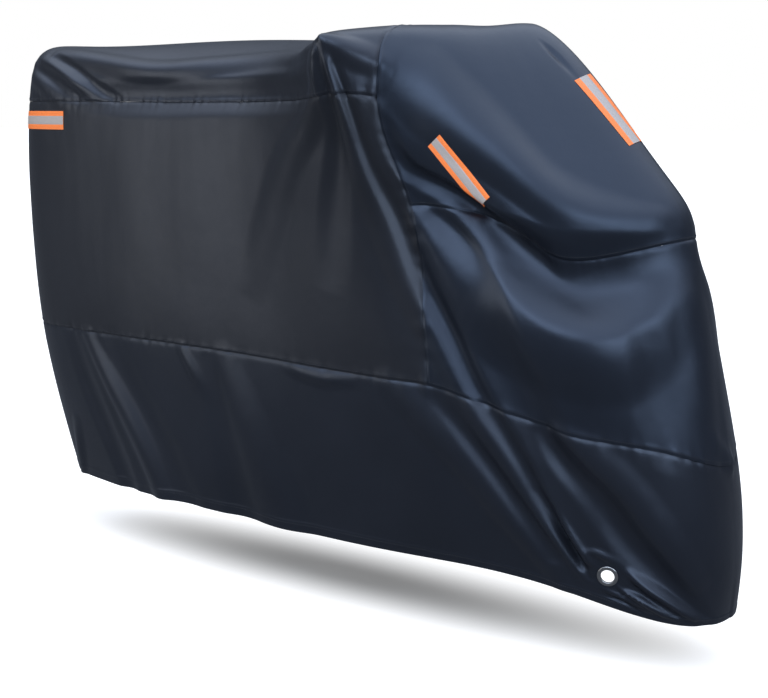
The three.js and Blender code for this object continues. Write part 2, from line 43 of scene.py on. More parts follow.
# The form: levels in millimetres of cloth down from the crest, and ribs of the right half, by
# millimetres round the waist from the centre back, each with its
# [x, half width, height above the ground] at every level
CREST, SHOULDER, TOP_SEAM, HOOD_EDGE, MID_SEAM, HEM = 0, 240, 340, 610, 930, 1340
DROPS = [CREST, SHOULDER, TOP_SEAM, HOOD_EDGE, MID_SEAM, HEM]
RIBS = {
    0: [  # rear
        [-820, 0, 1338], [-972, 0, 1318], [-1002, 0, 1208], [-1010, 0, 930], [-988, 0, 600],
        [-888, 0, 185],
    ],
    180: [  # corner
        [-812, 0, 1339], [-932, 158, 1321], [-962, 168, 1208], [-968, 172, 930], [-946, 168, 602],
        [-846, 145, 186],
    ],
    350: [  # tail
        [-740, 0, 1346], [-795, 205, 1312], [-800, 222, 1208], [-800, 232, 925], [-790, 235, 606],
        [-690, 210, 190],
    ],
    900: [  # seat
        [-250, 0, 1359], [-260, 232, 1275], [-260, 262, 1208], [-255, 285, 920], [-245, 300, 616],
        [-230, 285, 205],
    ],
    1165: [  # tank
        [0, 0, 1350], [-5, 268, 1280], [0, 298, 1208], [10, 305, 935], [20, 312, 614], [40, 288, 203],
    ],
    1485: [  # grip
        [225, 0, 1350], [245, 330, 1300], [270, 362, 1208], [305, 325, 965], [360, 315, 607],
        [400, 275, 203],
    ],
    1575: [  # bars
        [300, 0, 1358], [325, 285, 1317], [335, 330, 1208], [385, 290, 985], [440, 300, 602],
        [490, 265, 203],
    ],
    1850: [  # hood
        [440, 0, 1368], [479, 196, 1290], [545, 236, 1152], [660, 262, 915], [735, 255, 530],
        [760, 215, 172],
    ],
    2075: [  # cheek
        [486, 0, 1374], [580, 95, 1278], [690, 122, 1123], [802, 170, 895], [940, 155, 492],
        [960, 135, 122],
    ],
    2255: [  # nose
        [504, 0, 1374], [646, 0, 1274], [780, 0, 1116], [908, 0, 921], [1010, 0, 448], [1026, 0, 112],
    ],
}
PEAKS = [  # round, drop, reach, forward, out, up
    (1470, 236, 240, 12, 86, 40),
    (-1470, 236, 240, 12, 86, 40),
]
FOLDS = {  # stops of each path: round, drop, half width, rise
    "right main ridge": [
        (1464, 290, 24, 4), (1468, 358, 34, 6), (1481, 490, 40, 7), (1511, 638, 42, 7), (1545, 762, 42, 7),
        (1590, 834, 42, 7), (1649, 914, 40, 7), (1723, 1002, 38, 7), (1786, 1100, 32, 7),
        (1830, 1185, 26, 7), (1872, 1276, 20, 2),
    ],
    "right main valley": [
        (1490, 296, 20, -4), (1502, 362, 24, -6), (1516, 502, 26, -6), (1548, 650, 28, -8),
        (1583, 762, 31, -10), (1628, 826, 31, -11), (1687, 910, 31, -11), (1759, 998, 29, -10),
        (1812, 1118, 25, -10), (1850, 1190, 23, -9), (1888, 1266, 18, -2),
    ],
    "right main recess": [
        (1606, 590, 40, -3), (1664, 670, 70, -15), (1704, 750, 80, -19), (1744, 818, 80, -19),
        (1786, 895, 74, -17), (1834, 980, 62, -13), (1866, 1090, 50, -8), (1890, 1175, 38, -3),
    ],
    "right hood brow": [
        (1610, 292, 60, 6), (1685, 318, 95, 15), (1749, 342, 105, 22), (1809, 366, 110, 25),
        (1869, 398, 110, 25), (1933, 446, 100, 22), (2033, 490, 90, 15), (2149, 530, 70, 5),
    ],
    "right hood trough": [
        (1585, 400, 34, -5), (1592, 470, 40, -11), (1612, 522, 48, -17), (1660, 556, 56, -28),
        (1715, 594, 66, -42), (1775, 628, 86, -52), (1850, 646, 108, -57), (1930, 652, 112, -55),
        (2056, 650, 106, -42), (2160, 640, 80, -14), (2255, 622, 50, 0),
    ],
    "right swag": [
        (1592, 650, 44, 10), (1628, 694, 62, 20), (1712, 764, 95, 31), (1850, 778, 100, 27),
        (1984, 775, 95, 21), (2107, 742, 78, 10), (2200, 705, 60, 4), (2255, 690, 50, 0),
    ],
    "right hood tuck": [(2140, 190, 16, -1), (2158, 216, 20, -5), (2176, 250, 16, -1)],
    "right tail crease": [(329, 230, 20, -4), (429, 262, 22, -9), (513, 298, 22, -9), (597, 334, 20, -4)],
    "right tail crease below": [(241, 258, 20, -4), (345, 286, 22, -8), (449, 334, 20, -4)],
    "right tail pleat": [(270, 240, 24, 4), (380, 270, 28, 9), (480, 312, 28, 8), (540, 340, 24, 2)],
    "right tail pleat below": [(225, 285, 26, 3), (310, 312, 28, 7), (400, 350, 24, 2)],
    "right shoulder roll": [
        (330, 205, 40, 4), (525, 220, 50, 12), (725, 236, 54, 15), (885, 215, 54, 14), (1040, 198, 52, 12),
        (1180, 195, 48, 10), (1390, 224, 36, 5),
    ],
    "right shadow band": [
        (460, 332, 40, -4), (620, 328, 60, -14), (735, 326, 66, -17), (1007, 322, 66, -17),
        (1250, 322, 60, -14), (1390, 318, 40, -4),
    ],
    "right grip fold": [
        (1440, 270, 30, 5), (1396, 340, 44, 11), (1262, 460, 62, 11), (1150, 640, 70, 7),
        (1085, 790, 60, 0),
    ],
    "right grip hollow": [
        (1452, 285, 24, -5), (1438, 400, 40, -12), (1395, 560, 60, -10), (1350, 760, 60, 0),
    ],
    "right tail skirt ridge": [
        (470, 940, 34, 5), (543, 1055, 48, 13), (633, 1201, 58, 14), (706, 1340, 62, 10),
    ],
    "right tail skirt valley": [
        (395, 945, 44, -3), (435, 1091, 54, -8), (490, 1242, 58, -9), (522, 1340, 58, -7),
    ],
    "right tail skirt hollow": [
        (580, 945, 50, -2), (665, 1090, 66, -6), (770, 1240, 72, -7), (830, 1340, 72, -5),
    ],
    "right seam tuck": [(850, 934, 22, 3), (880, 975, 26, 6), (925, 1040, 30, 1)],
    "right seam pocket": [(1205, 942, 20, 2), (1290, 952, 24, 7), (1372, 946, 20, 2)],
    "right middle skirt ridge": [(1005, 945, 50, 3), (1078, 1115, 80, 9), (1156, 1340, 90, 10)],
    "right middle skirt valley": [(950, 960, 40, -2), (985, 1115, 64, -6), (1030, 1340, 70, -7)],
    "right front skirt ridge": [
        (1470, 940, 40, 3), (1560, 1000, 54, 7), (1655, 1070, 58, 9), (1722, 1150, 56, 9),
        (1785, 1245, 46, 7), (1825, 1320, 36, 4),
    ],
    "right front skirt valley": [
        (1600, 950, 28, -3), (1700, 1045, 32, -9), (1762, 1140, 32, -9), (1812, 1240, 28, -4),
    ],
    "right tail hem fold": [(312, 1190, 28, 3), (285, 1260, 30, 8), (252, 1340, 30, 6)],
    "right apron valley": [
        (1822, 944, 30, -6), (1845, 976, 40, -14), (1877, 1014, 48, -19), (1913, 1056, 54, -21),
        (1945, 1110, 56, -21), (1985, 1166, 56, -19), (2041, 1218, 52, -15), (2105, 1274, 44, -9),
        (2150, 1325, 36, -4),
    ],
    "right apron ridge": [
        (1850, 936, 32, 5), (1905, 960, 50, 8), (1975, 1030, 60, 8), (2040, 1110, 60, 7),
        (2100, 1190, 56, 4),
    ],
    "right pleat": [(1800, 1075, 16, -3), (1822, 1122, 18, -8), (1842, 1180, 18, -9), (1868, 1248, 14, -5)],
    "right second pleat": [(1828, 1110, 14, 3), (1852, 1165, 16, 8), (1880, 1225, 14, 4)],
    "right hem gather": [(1955, 1276, 14, 3), (2013, 1302, 18, 7), (2080, 1322, 16, 4)],
    "right hem gather above": [(1962, 1222, 14, 3), (2012, 1266, 20, 8), (2113, 1314, 18, 4)],
    "right nose hollow": [(2090, 770, 50, -5), (2084, 820, 62, -8), (2062, 915, 60, -5)],
    "right nose ridge": [(2215, 730, 50, 4), (2192, 815, 60, 7), (2168, 905, 56, 4)],
    "right nose tuck": [(2205, 900, 24, 4), (2255, 928, 26, 8)],
    "left main ridge": [
        (-1464, 290, 26, 4), (-1478, 450, 40, 7), (-1509, 640, 42, 7), (-1582, 820, 42, 7),
        (-1668, 940, 40, 7), (-1782, 1100, 34, 7), (-1868, 1270, 22, 2),
    ],
    "left main valley": [
        (-1490, 300, 22, -4), (-1512, 480, 26, -7), (-1548, 650, 28, -8), (-1624, 826, 31, -11),
        (-1726, 960, 30, -11), (-1812, 1110, 26, -10), (-1886, 1250, 20, -2),
    ],
    "left main recess": [
        (-1606, 590, 40, -3), (-1664, 670, 70, -15), (-1704, 750, 80, -19), (-1786, 895, 74, -17),
        (-1848, 1030, 58, -11), (-1890, 1175, 38, -3),
    ],
    "left hood brow": [
        (-1640, 300, 75, 8), (-1760, 346, 106, 22), (-1869, 398, 110, 25), (-2000, 475, 96, 18),
        (-2149, 530, 70, 5),
    ],
    "left hood trough": [
        (-1588, 420, 38, -6), (-1618, 530, 50, -20), (-1715, 594, 64, -42), (-1850, 646, 108, -57),
        (-2056, 650, 106, -42), (-2160, 640, 80, -14), (-2255, 622, 50, 0),
    ],
    "left swag": [
        (-1620, 700, 56, 14), (-1712, 764, 95, 30), (-1870, 778, 100, 26), (-2080, 750, 84, 12),
        (-2255, 690, 50, 0),
    ],
    "left shoulder roll": [
        (-420, 212, 44, 6), (-700, 230, 54, 14), (-1050, 205, 54, 12), (-1390, 224, 36, 5),
    ],
    "left shadow band": [
        (-480, 330, 44, -5), (-850, 325, 66, -16), (-1250, 322, 60, -13), (-1390, 318, 40, -4),
    ],
    "left tail crease": [(-320, 228, 20, -4), (-440, 268, 22, -9), (-580, 334, 20, -4)],
    "left grip fold": [
        (-1440, 270, 32, 5), (-1380, 360, 48, 12), (-1250, 520, 64, 11), (-1150, 720, 64, 0),
    ],
    "left tail skirt ridge": [(-560, 945, 44, 5), (-640, 1110, 62, 13), (-730, 1340, 68, 12)],
    "left tail skirt valley": [(-470, 950, 44, -3), (-520, 1110, 58, -8), (-580, 1340, 60, -8)],
    "left middle skirt ridge": [(-1130, 945, 50, 4), (-1185, 1120, 84, 10), (-1240, 1340, 92, 11)],
    "left middle skirt valley": [(-1010, 955, 50, -3), (-1035, 1120, 70, -7), (-1060, 1340, 76, -8)],
    "left front skirt ridge": [
        (-1480, 945, 44, 3), (-1600, 1030, 58, 9), (-1715, 1160, 56, 9), (-1800, 1300, 44, 6),
    ],
    "left apron valley": [
        (-1828, 950, 34, -7), (-1880, 1016, 50, -18), (-1950, 1110, 58, -20), (-2045, 1220, 54, -14),
        (-2150, 1325, 38, -4),
    ],
}
EYELET_ROUND, EYELET_DROP = 1921, 1249
EYELET_HOLE, EYELET_RIM, EYELET_DEPTH, EYELET_CLEARANCE = 29, 45, 1.7, 0.35
RIM_OVERLAP = 5  # cloth gripped under the rim
HEM_HEIGHT = 25
TAIL_TAPE_WIDTH, TAIL_TAPE_HEIGHT, TAIL_TAPE_FRONT = 48, 1158, -757
HOOD_TAPES = {  # width, then start and end as round, drop
    "tape_right": (38, (1702, 401), (1760, 547)),
    "tape_left": (38, (-1702, 401), (-1760, 547)),
    "tape_front": (56, (2207, 252), (2239, 338)),
}

REST_HEIGHT = 1348  # of the part's origin above the ground
CLOTH_DEPTH, HEM_DEPTH = 2, 3
HALF_GAP = 0.2  # half the space between panels
GIRTH = max(RIBS)  # half way round, from the centre back to the nose
HOOD_SEAM = 1575
HEM_TURN = HEM - HEM_HEIGHT

# Creases too fine for the solids, by the same columns as the folds
CREASES = {
    "grip brow": [
        (1476, 238, 20, 3), (1500, 252, 30, 9), (1530, 268, 36, 11), (1562, 280, 34, 9), (1590, 292, 30, 3),
    ],
    "grip crease": [(1452, 250, 14, 2), (1428, 335, 18, 6), (1412, 420, 20, 1)],
    "grip crease ahead": [(1474, 250, 14, 2), (1480, 330, 20, 5), (1486, 420, 22, 1)],
    "lock groove": [
        (1822, 1110, 20, -1), (1842, 1172, 21, -3), (1866, 1226, 20, -5), (1890, 1266, 17, -3),
    ],
    "lock ridge": [(1842, 1132, 18, 1), (1866, 1184, 19, 4), (1888, 1226, 18, 5), (1902, 1256, 16, 2)],
    "lock flap": [(1880, 1196, 14, 2), (1905, 1190, 16, 7), (1932, 1204, 18, 4), (1952, 1222, 14, 1)],
    "lock gather": [(1905, 1290, 12, 1), (1930, 1292, 13, 5), (1968, 1304, 14, 6), (2008, 1316, 12, 2)],
    "lock gather above": [
        (1938, 1272, 12, 1), (1966, 1280, 13, 6), (2000, 1294, 14, 6), (2040, 1314, 12, 2),
    ],
    "lock gather below": [(1918, 1306, 12, -1), (1950, 1308, 13, -5), (1990, 1320, 12, -3)],
    "front roll": [
        (1962, 1222, 18, 2), (2000, 1244, 22, 7), (2041, 1266, 24, 9), (2100, 1298, 22, 7),
        (2149, 1322, 18, 3),
    ],
    "front roll below": [
        (1972, 1252, 14, -2), (2010, 1272, 16, -6), (2056, 1296, 16, -6), (2105, 1322, 13, -2),
    ],
    "tail edge": [(312, 224, 14, 1), (411, 257, 17, 4), (506, 297, 17, 4), (596, 332, 14, 1)],
    "tail edge below": [(195, 253, 14, 1), (313, 274, 17, 4), (443, 335, 15, 2)],
}

# Grid of the cloth: an even pitch, finer where the creases are sharp and beside each sewn edge
PITCH = 6.5
FINE_PITCH = 4.6
HEM_PITCH = 5
GRIP_ROUND, GRIP_PITCH = 1350, 3.4  # the top's columns are finer from here on, by the bar ends
SKIRT_SPANS = [(0, 9.2), (1250, 8.0), (1780, 4.4), (2080, 8.0)]  # places round, and the pitch from each
BESIDE_SEAM = np.array([0, 0.8, 2.5, 5, 9])
SAME_PLACE_DIGITS = 5  # corners whose places agree to so many decimals are one
WINDOW = 30  # half the square round an eyelet where rings of facets take over from the grid
WINDOW_RINGS = 4


def spline_weights(knots, flat_start, flat_end, at):
    """Weight of each knot's value in the smooth curve through all of them, at each place."""
    knots = np.asarray(knots, float)
    count = len(knots)
    gap = np.diff(knots)
    unit = np.eye(count)
    slope = (unit[1:] - unit[:-1]) / gap[:, None]
    system, right = np.eye(count), np.zeros((count, count))
    for i in range(1, count - 1):
        system[i, i - 1:i + 2] = gap[i - 1], 2 * (gap[i - 1] + gap[i]), gap[i]
        right[i] = 6 * (slope[i] - slope[i - 1])
    if flat_start:
        system[0, :2] = 2, 1
        right[0] = 6 * slope[0] / gap[0]
    if flat_end:
        system[-1, -2:] = 1, 2
        right[-1] = -6 * slope[-1] / gap[-1]
    bend = np.linalg.solve(system, right)
    cell = np.clip(np.searchsorted(knots, at, side="right") - 1, 0, count - 2)
    h = gap[cell][:, None]
    b = (np.asarray(at) - knots[cell])[:, None] / h
    a = 1 - b
    curl = ((a**3 - a) * bend[cell] + (b**3 - b) * bend[cell + 1]) * h * h / 6
    return a * unit[cell] + b * unit[cell + 1] + curl


RIB_ROUNDS = sorted(RIBS)
FORM = np.array([RIBS[r] for r in RIB_ROUNDS], float)


def wrapped(round_):
    return (round_ + GIRTH) % (2 * GIRTH) - GIRTH


def smooth_step(t):
    t = np.clip(t, 0, 1)
    return t * t * (3 - 2 * t)


def bare_form(round_, drop):
    """Points of the cloth without folds, in millimetres, heights above the ground."""
    round_ = wrapped(round_)
    points = np.empty((len(round_), 3))
    for flat, axes in ((True, (0, 2)), (False, (1,))):
        across = spline_weights(RIB_ROUNDS, flat, flat, np.abs(round_))
        down = spline_weights(DROPS, flat, False, drop)
        for axis in axes:
            points[:, axis] = ((across @ FORM[:, :, axis]) * down).sum(1)
    points[:, 1] *= np.where(round_ < 0, 1, -1)
    return points


PEAK_TIP = 0.02  # share of a peak's reach over which its tip is rounded


def peaked_form(round_, drop):
    """The bare form drawn out to a point where each bar end lifts it."""
    points = bare_form(round_, drop)
    round_ = wrapped(round_)
    for peak_round, peak_drop, reach, forward, out, up in PEAKS:
        near = np.hypot(round_ - peak_round, drop - peak_drop) / reach
        near = np.minimum(np.hypot(near, PEAK_TIP), 1)
        side = 1 if peak_round < 0 else -1
        points += ((1 - near) ** 2)[:, None] * np.array([forward, side * out, up])
    return points


def outward(round_, drop, step=1.0):
    """Directions out of the cloth before its folds; on the crest they stay in the middle plane."""
    low = np.maximum(drop, step)
    down = peaked_form(round_, low + step) - peaked_form(round_, low - step)
    across = peaked_form(round_ + step, low) - peaked_form(round_ - step, low)
    out = np.cross(down, across)
    out[drop < step, 1] = 0
    return out / np.linalg.norm(out, axis=1)[:, None]


def smooth_path(stops, parts=6):
    """The stops of a fold joined by a smooth line."""
    stops = np.array(stops, float)
    if len(stops) < 3:
        return stops
    along = np.concatenate([[0], np.cumsum(np.hypot(*np.diff(stops[:, :2], axis=0).T))])
    at = np.interp(np.linspace(0, len(along) - 1, parts * (len(along) - 1) + 1), range(len(along)), along)
    return spline_weights(along, False, False, at) @ stops


def fold_rise(folds, round_, drop):
    """How far the folds push the cloth out; a fold near the nose goes on across the centre line."""
    total = np.zeros(len(round_))
    for path in folds.values():
        stops = smooth_path(path)
        local = round_ - 2 * GIRTH * np.round((round_ - stops[0, 0]) / (2 * GIRTH))
        margin = stops[:, 2].max()
        low, high = stops[:, :2].min(0) - margin, stops[:, :2].max(0) + margin
        near = np.flatnonzero((local > low[0]) & (local < high[0]) & (drop > low[1]) & (drop < high[1]))
        if not len(near):
            continue
        r, d = local[near], drop[near]
        best, half, rise = np.full(len(near), np.inf), np.ones(len(near)), np.zeros(len(near))
        for (r0, d0, half0, rise0), (r1, d1, half1, rise1) in zip(stops, stops[1:]):
            along_r, along_d = r1 - r0, d1 - d0
            t = np.clip(((r - r0) * along_r + (d - d0) * along_d) / (along_r**2 + along_d**2), 0, 1)
            gap = np.hypot(r - r0 - t * along_r, d - d0 - t * along_d)
            closer = gap < best
            best = np.where(closer, gap, best)
            half = np.where(closer, half0 + t * (half1 - half0), half)
            rise = np.where(closer, rise0 + t * (rise1 - rise0), rise)
        q = np.minimum(best / half, 1)
        total[near] += rise * (1 - q * q) ** 2
    return total


SHORTEST_WAVE = 0.6  # as a share of a ripple's scale


def ripple(round_, drop, seed, scale, waves=14):
    """Seeded uneven waves of about unit height, about the scale in millimetres from crest to crest."""
    dice = np.random.default_rng(seed)
    total = np.zeros(len(round_))
    for turn, phase, stretch in dice.random((waves, 3)):
        pace = 2 * math.pi / (scale * (SHORTEST_WAVE + stretch))
        way = round_ * math.cos(math.pi * turn) + drop * math.sin(math.pi * turn)
        total += np.sin(pace * way + 2 * math.pi * phase)
    return total * math.sqrt(2 / waves)


# Sewn edges and hanging cloth, in millimetres
LAP_RISE, LAP_WIDTH, LAP_LEVEL = 1.4, 11, 3
SEAM_DIP, SEAM_DIP_WIDTH = 2.4, 4.5
PUCKER_RISE, PUCKER_REACH, PUCKER_FADE, PUCKER_SCALE, PUCKER_SEED = 0.9, 26, 2.2, 24, 20
HEM_RISE, HEM_LEAD, HEM_BLEND = 0.9, 4, 6
HANG_START, HANG_BLEND = 60, 200
HANGING_WAVES = [(0.6, 0.5, 3, 230), (0.1, 0.6, 4, 80)]  # rise, share of the drop, seed, scale


def sewn_edges(round_, drop):
    """For each seam: millimetres off it, negative on the lapped side, along it, and where it runs."""
    reach = np.abs(wrapped(round_))
    behind = reach < HOOD_SEAM
    return [
        (drop - TOP_SEAM, round_, behind),
        (drop - MID_SEAM, round_, np.ones(len(reach), bool)),
        (drop - HOOD_EDGE, round_, ~behind),
        (HOOD_SEAM - reach, drop, drop < MID_SEAM),
    ]


def fine_rise(round_, drop):
    """Fine creases, lapped seams with puckers, the turned hem and the slight waves of hanging cloth."""
    total = fold_rise(CREASES, round_, drop)
    for k, (away, along, runs) in enumerate(sewn_edges(round_, drop)):
        lap = np.where(away < 0, 1 - smooth_step((-away - LAP_LEVEL) / (LAP_WIDTH - LAP_LEVEL)), 0)
        pucker = ripple(along, np.zeros(len(along)), PUCKER_SEED + k, PUCKER_SCALE)
        pucker *= np.exp(-np.abs(away) / PUCKER_REACH * PUCKER_FADE)
        pucker = PUCKER_RISE * pucker * (np.abs(away) < 2 * PUCKER_REACH)
        dip = SEAM_DIP * np.exp(-(away / SEAM_DIP_WIDTH) ** 2)
        total += np.where(runs, LAP_RISE * lap - dip + pucker, 0)
    total += HEM_RISE * smooth_step((drop - HEM_TURN + HEM_LEAD) / HEM_BLEND)
    waves = sum(rise * ripple(round_, drop * share, seed, scale)
                for rise, share, seed, scale in HANGING_WAVES)
    return total + smooth_step((drop - HANG_START) / HANG_BLEND) * waves


def eyelet_seat(side):
    """Centre of an eyelet and the directions across, up and out."""
    def at(round_, drop):
        return bare_form(np.array([side * round_], float), np.array([drop], float))[0]
    origin = at(EYELET_ROUND, EYELET_DROP)
    across = at(EYELET_ROUND + 1, EYELET_DROP) - at(EYELET_ROUND - 1, EYELET_DROP)
    across *= side / np.linalg.norm(across)
    out = np.cross(across, at(EYELET_ROUND, EYELET_DROP - 1) - origin)
    out /= np.linalg.norm(out)
    return origin, across, np.cross(out, across), out


SEATS = {1: eyelet_seat(1), -1: eyelet_seat(-1)}
CALM, CALM_BLEND = 25, 26  # the cloth is flat so far from an eyelet's centre, and blends over the next


def cloth_at(round_, drop):
    """Points of the outer face of the cloth, in millimetres, heights above the ground."""
    rise = fold_rise(FOLDS, round_, drop) + fine_rise(round_, drop)
    rise = np.where(drop > 0, rise, 0)
    points = peaked_form(round_, drop) + outward(round_, drop) * rise[:, None]
    for side, (origin, _, _, out) in SEATS.items():
        away = np.hypot(wrapped(round_) - side * EYELET_ROUND, drop - EYELET_DROP)
        flat = 1 - smooth_step((away - CALM) / CALM_BLEND)
        height = (points - origin) @ out
        points -= (flat * height)[:, None] * out
    return points


def lines(low, high, pitch, fine_low=True, fine_high=True):
    """Grid lines from low to high, finer beside the sewn ends."""
    start = low + BESIDE_SEAM if fine_low else np.array([low])
    end = high - BESIDE_SEAM[::-1] if fine_high else np.array([high])
    count = max(1, math.ceil((end[0] - start[-1]) / pitch))
    return np.concatenate([start, np.linspace(start[-1], end[0], count + 1)[1:-1], end])


def joined(*parts):
    """Runs of lines as one, where each run starts at the end of the one before."""
    return np.concatenate([parts[0]] + [part[1:] for part in parts[1:]])


def grid(columns, rows):
    """Places of a grid of cloth, its facets and their unwrapped corners; corners that meet are shared."""
    places = np.stack(np.meshgrid(columns, rows, indexing="ij"), -1).reshape(-1, 2)
    i, j = np.meshgrid(range(len(columns) - 1), range(len(rows) - 1), indexing="ij")
    first = (i * len(rows) + j).ravel()
    corners = np.column_stack([first, first + 1, first + len(rows) + 1, first + len(rows)])
    keys = np.column_stack([wrapped(places[:, 0]), places[:, 1]])
    keys[:, 0] = np.where(keys[:, 1] == 0, np.abs(keys[:, 0]), keys[:, 0])
    keys, index = np.unique(np.round(keys, SAME_PLACE_DIGITS), axis=0, return_inverse=True)
    return keys, index.reshape(-1)[corners], places[corners]


def facet_normals(points, faces):
    return np.cross(points[faces[:, 2]] - points[faces[:, 0]], points[faces[:, 3]] - points[faces[:, 1]])


def corner_normals(points, faces):
    normals = np.zeros_like(points)
    flat = facet_normals(points, faces)
    for k in range(4):
        np.add.at(normals, faces[:, k], flat)
    return normals / np.linalg.norm(normals, axis=1)[:, None]


def border_edges(faces, count):
    """The edges that only one facet has."""
    edges = np.concatenate([faces[:, [k, (k + 1) % faces.shape[1]]] for k in range(faces.shape[1])])
    return edges[~np.isin(edges[:, 0] * count + edges[:, 1], edges[:, 1] * count + edges[:, 0])]


def thickened(points, faces, depth, corner_places, places):
    """A closed sheet: the given face, one a depth under it, and walls along the border."""
    count = len(points)
    inner = points - corner_normals(points, faces) * depth[:, None]
    border = border_edges(faces, count)
    walls = np.column_stack([border[:, 1], border[:, 0], border[:, 0] + count, border[:, 1] + count])
    all_faces = np.concatenate([faces, faces[:, ::-1] + count, walls])
    wall_places = places[walls % count]
    return (np.concatenate([points, inner]), all_faces,
            np.concatenate([corner_places, corner_places[:, ::-1], wall_places]))


def to_frame(points):
    """From millimetres above the ground to the part's frame in metres."""
    return (points - np.array([0, 0, REST_HEIGHT])) * MM


def add_piece(name, points, faces, looks, uv=None, look_index=None, sharp_angle=50):
    """A piece of the cover from points in millimetres, with its looks."""
    mesh = bpy.data.meshes.new(name)
    mesh.from_pydata(to_frame(points).tolist(), [], faces.tolist())
    for look in looks:
        mesh.materials.append(look)
    if look_index is not None:
        mesh.polygons.foreach_set("material_index", np.asarray(look_index, np.int32))
    if uv is not None:
        layer = mesh.uv_layers.new(name="cloth")
        layer.data.foreach_set("uv", (uv.reshape(-1, 2) * MM).astype(np.float32).ravel())
    mesh.update()
    mesh.shade_smooth()
    mesh.set_sharp_from_angle(angle=math.radians(sharp_angle))
    piece = bpy.data.objects.new(name, mesh)
    bpy.context.scene.collection.objects.link(piece)
    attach(piece, "root")
    return piece


# Materials

def new_look(name, **settings):
    look = bpy.data.materials.new(name)
    look.use_nodes = True
    shader = look.node_tree.nodes["Principled BSDF"]
    for socket, value in settings.items():
        shader.inputs[socket.replace("_", " ")].default_value = value
    return look, look.node_tree, shader


def add_node(tree, kind, settings=None, **inputs):
    """A node with its settings and inputs; i0, i1 and so on name an input by its place."""
    node = tree.nodes.new(kind)
    for key, value in (settings or {}).items():
        setattr(node, key, value)
    for socket, value in inputs.items():
        by_place = socket[0] == "i" and socket[1:].isdigit()
        target = node.inputs[int(socket[1:]) if by_place else socket]
        if isinstance(value, bpy.types.NodeSocket):
            tree.links.new(value, target)
        else:
            target.default_value = value
    return node


def math_node(tree, operation, first, second=0.0):
    return add_node(tree, "ShaderNodeMath", {"operation": operation}, i0=first, i1=second).outputs[0]


def range_of(tree, value, low, high, start=0, end=1, smooth=False):
    """A value between start and end brought to between low and high."""
    settings = {"interpolation_type": "SMOOTHSTEP" if smooth else "LINEAR"}
    sockets = {"From Min": start, "From Max": end, "To Min": low, "To Max": high}
    return add_node(tree, "ShaderNodeMapRange", settings, Value=value, **sockets).outputs["Result"]


def ramp_of(tree, factor, stops):
    node = add_node(tree, "ShaderNodeValToRGB", Fac=factor)
    elements = node.color_ramp.elements
    while len(elements) < len(stops):
        elements.new(0.5)
    for element, (place, colour) in zip(elements, stops):
        element.position = place
        element.color = (*colour, 1)
    return node.outputs["Color"]


def noise_of(tree, vector, scale, detail=4, roughness=0.55):
    return add_node(tree, "ShaderNodeTexNoise", Vector=vector, Scale=scale, Detail=detail,
                    Roughness=roughness).outputs["Fac"]


# Tones: place on the ramp and share of the colour. Noises: scale, detail and roughness. Depths in metres.
CLOTH_TONES, CLOTH_TONE_NOISE = [(0.3, 0.82), (0.7, 1.18)], (3.5, 5)
CLOTH_IOR, SHEEN_WEIGHT, SHEEN_ROUGHNESS = 1.47, 0.02, 0.4
SCUFF_NOISE, SCUFF_SMOOTHER, SCUFF_ROUGHER = (26, 6, 0.65), 0.05, 0.07
CRINKLE_NOISE, CRINKLE_STRENGTH, CRINKLE_DEPTH = (34, 5, 0.5), 0.35, 0.0012
WEAVE_PITCH, WEAVE_STRENGTH, WEAVE_DEPTH = 0.0011, 0.5, 0.00006
PLAIN_TONES, PLAIN_TONE_DETAIL = [(0.3, 0.88), (0.7, 1.06)], 5
PLAIN_ROUGH_FINER, PLAIN_ROUGH_DETAIL, PLAIN_ROUGH_SPREAD = 3, 4, 0.06
PLAIN_BUMP_STRENGTH = 0.3


def toned(tree, factor, colour, tones):
    """A colour that is uneven by a noise."""
    return ramp_of(tree, factor, [(place, [share * c for c in colour]) for place, share in tones])


def weave_height(tree, uv, pitch):
    """Threads over and under: two crossed rows of ridges that take turns."""
    parts = add_node(tree, "ShaderNodeSeparateXYZ", Vector=uv)
    waves = [math_node(tree, "SINE", math_node(tree, "MULTIPLY", parts.outputs[k], 2 * math.pi / pitch))
             for k in (0, 1)]
    return math_node(tree, "MULTIPLY_ADD", math_node(tree, "MULTIPLY", *waves), 0.5)


def cloth_look(name, colour, roughness, tint):
    """Coated cloth: a tinted shine with scuffs, crinkles and a fine weave."""
    look, tree, shader = new_look(
        name, Metallic=0.0, IOR=CLOTH_IOR, Specular_Tint=(*tint, 1), Sheen_Weight=SHEEN_WEIGHT,
        Sheen_Roughness=SHEEN_ROUGHNESS, Sheen_Tint=(*tint, 1))
    spot = add_node(tree, "ShaderNodeTexCoord").outputs["Object"]
    uv = add_node(tree, "ShaderNodeUVMap", {"uv_map": "cloth"}).outputs["UV"]
    tone = noise_of(tree, spot, *CLOTH_TONE_NOISE)
    tree.links.new(toned(tree, tone, colour, CLOTH_TONES), shader.inputs["Base Color"])
    scuff = range_of(tree, noise_of(tree, spot, *SCUFF_NOISE),
                     roughness - SCUFF_SMOOTHER, roughness + SCUFF_ROUGHER)
    tree.links.new(scuff, shader.inputs["Roughness"])
    crinkle = add_node(tree, "ShaderNodeBump", Height=noise_of(tree, spot, *CRINKLE_NOISE),
                       Strength=CRINKLE_STRENGTH, Distance=CRINKLE_DEPTH)
    weave = add_node(tree, "ShaderNodeBump", Height=weave_height(tree, uv, WEAVE_PITCH),
                     Strength=WEAVE_STRENGTH, Distance=WEAVE_DEPTH, Normal=crinkle.outputs["Normal"])
    tree.links.new(weave.outputs["Normal"], shader.inputs["Normal"])
    return look


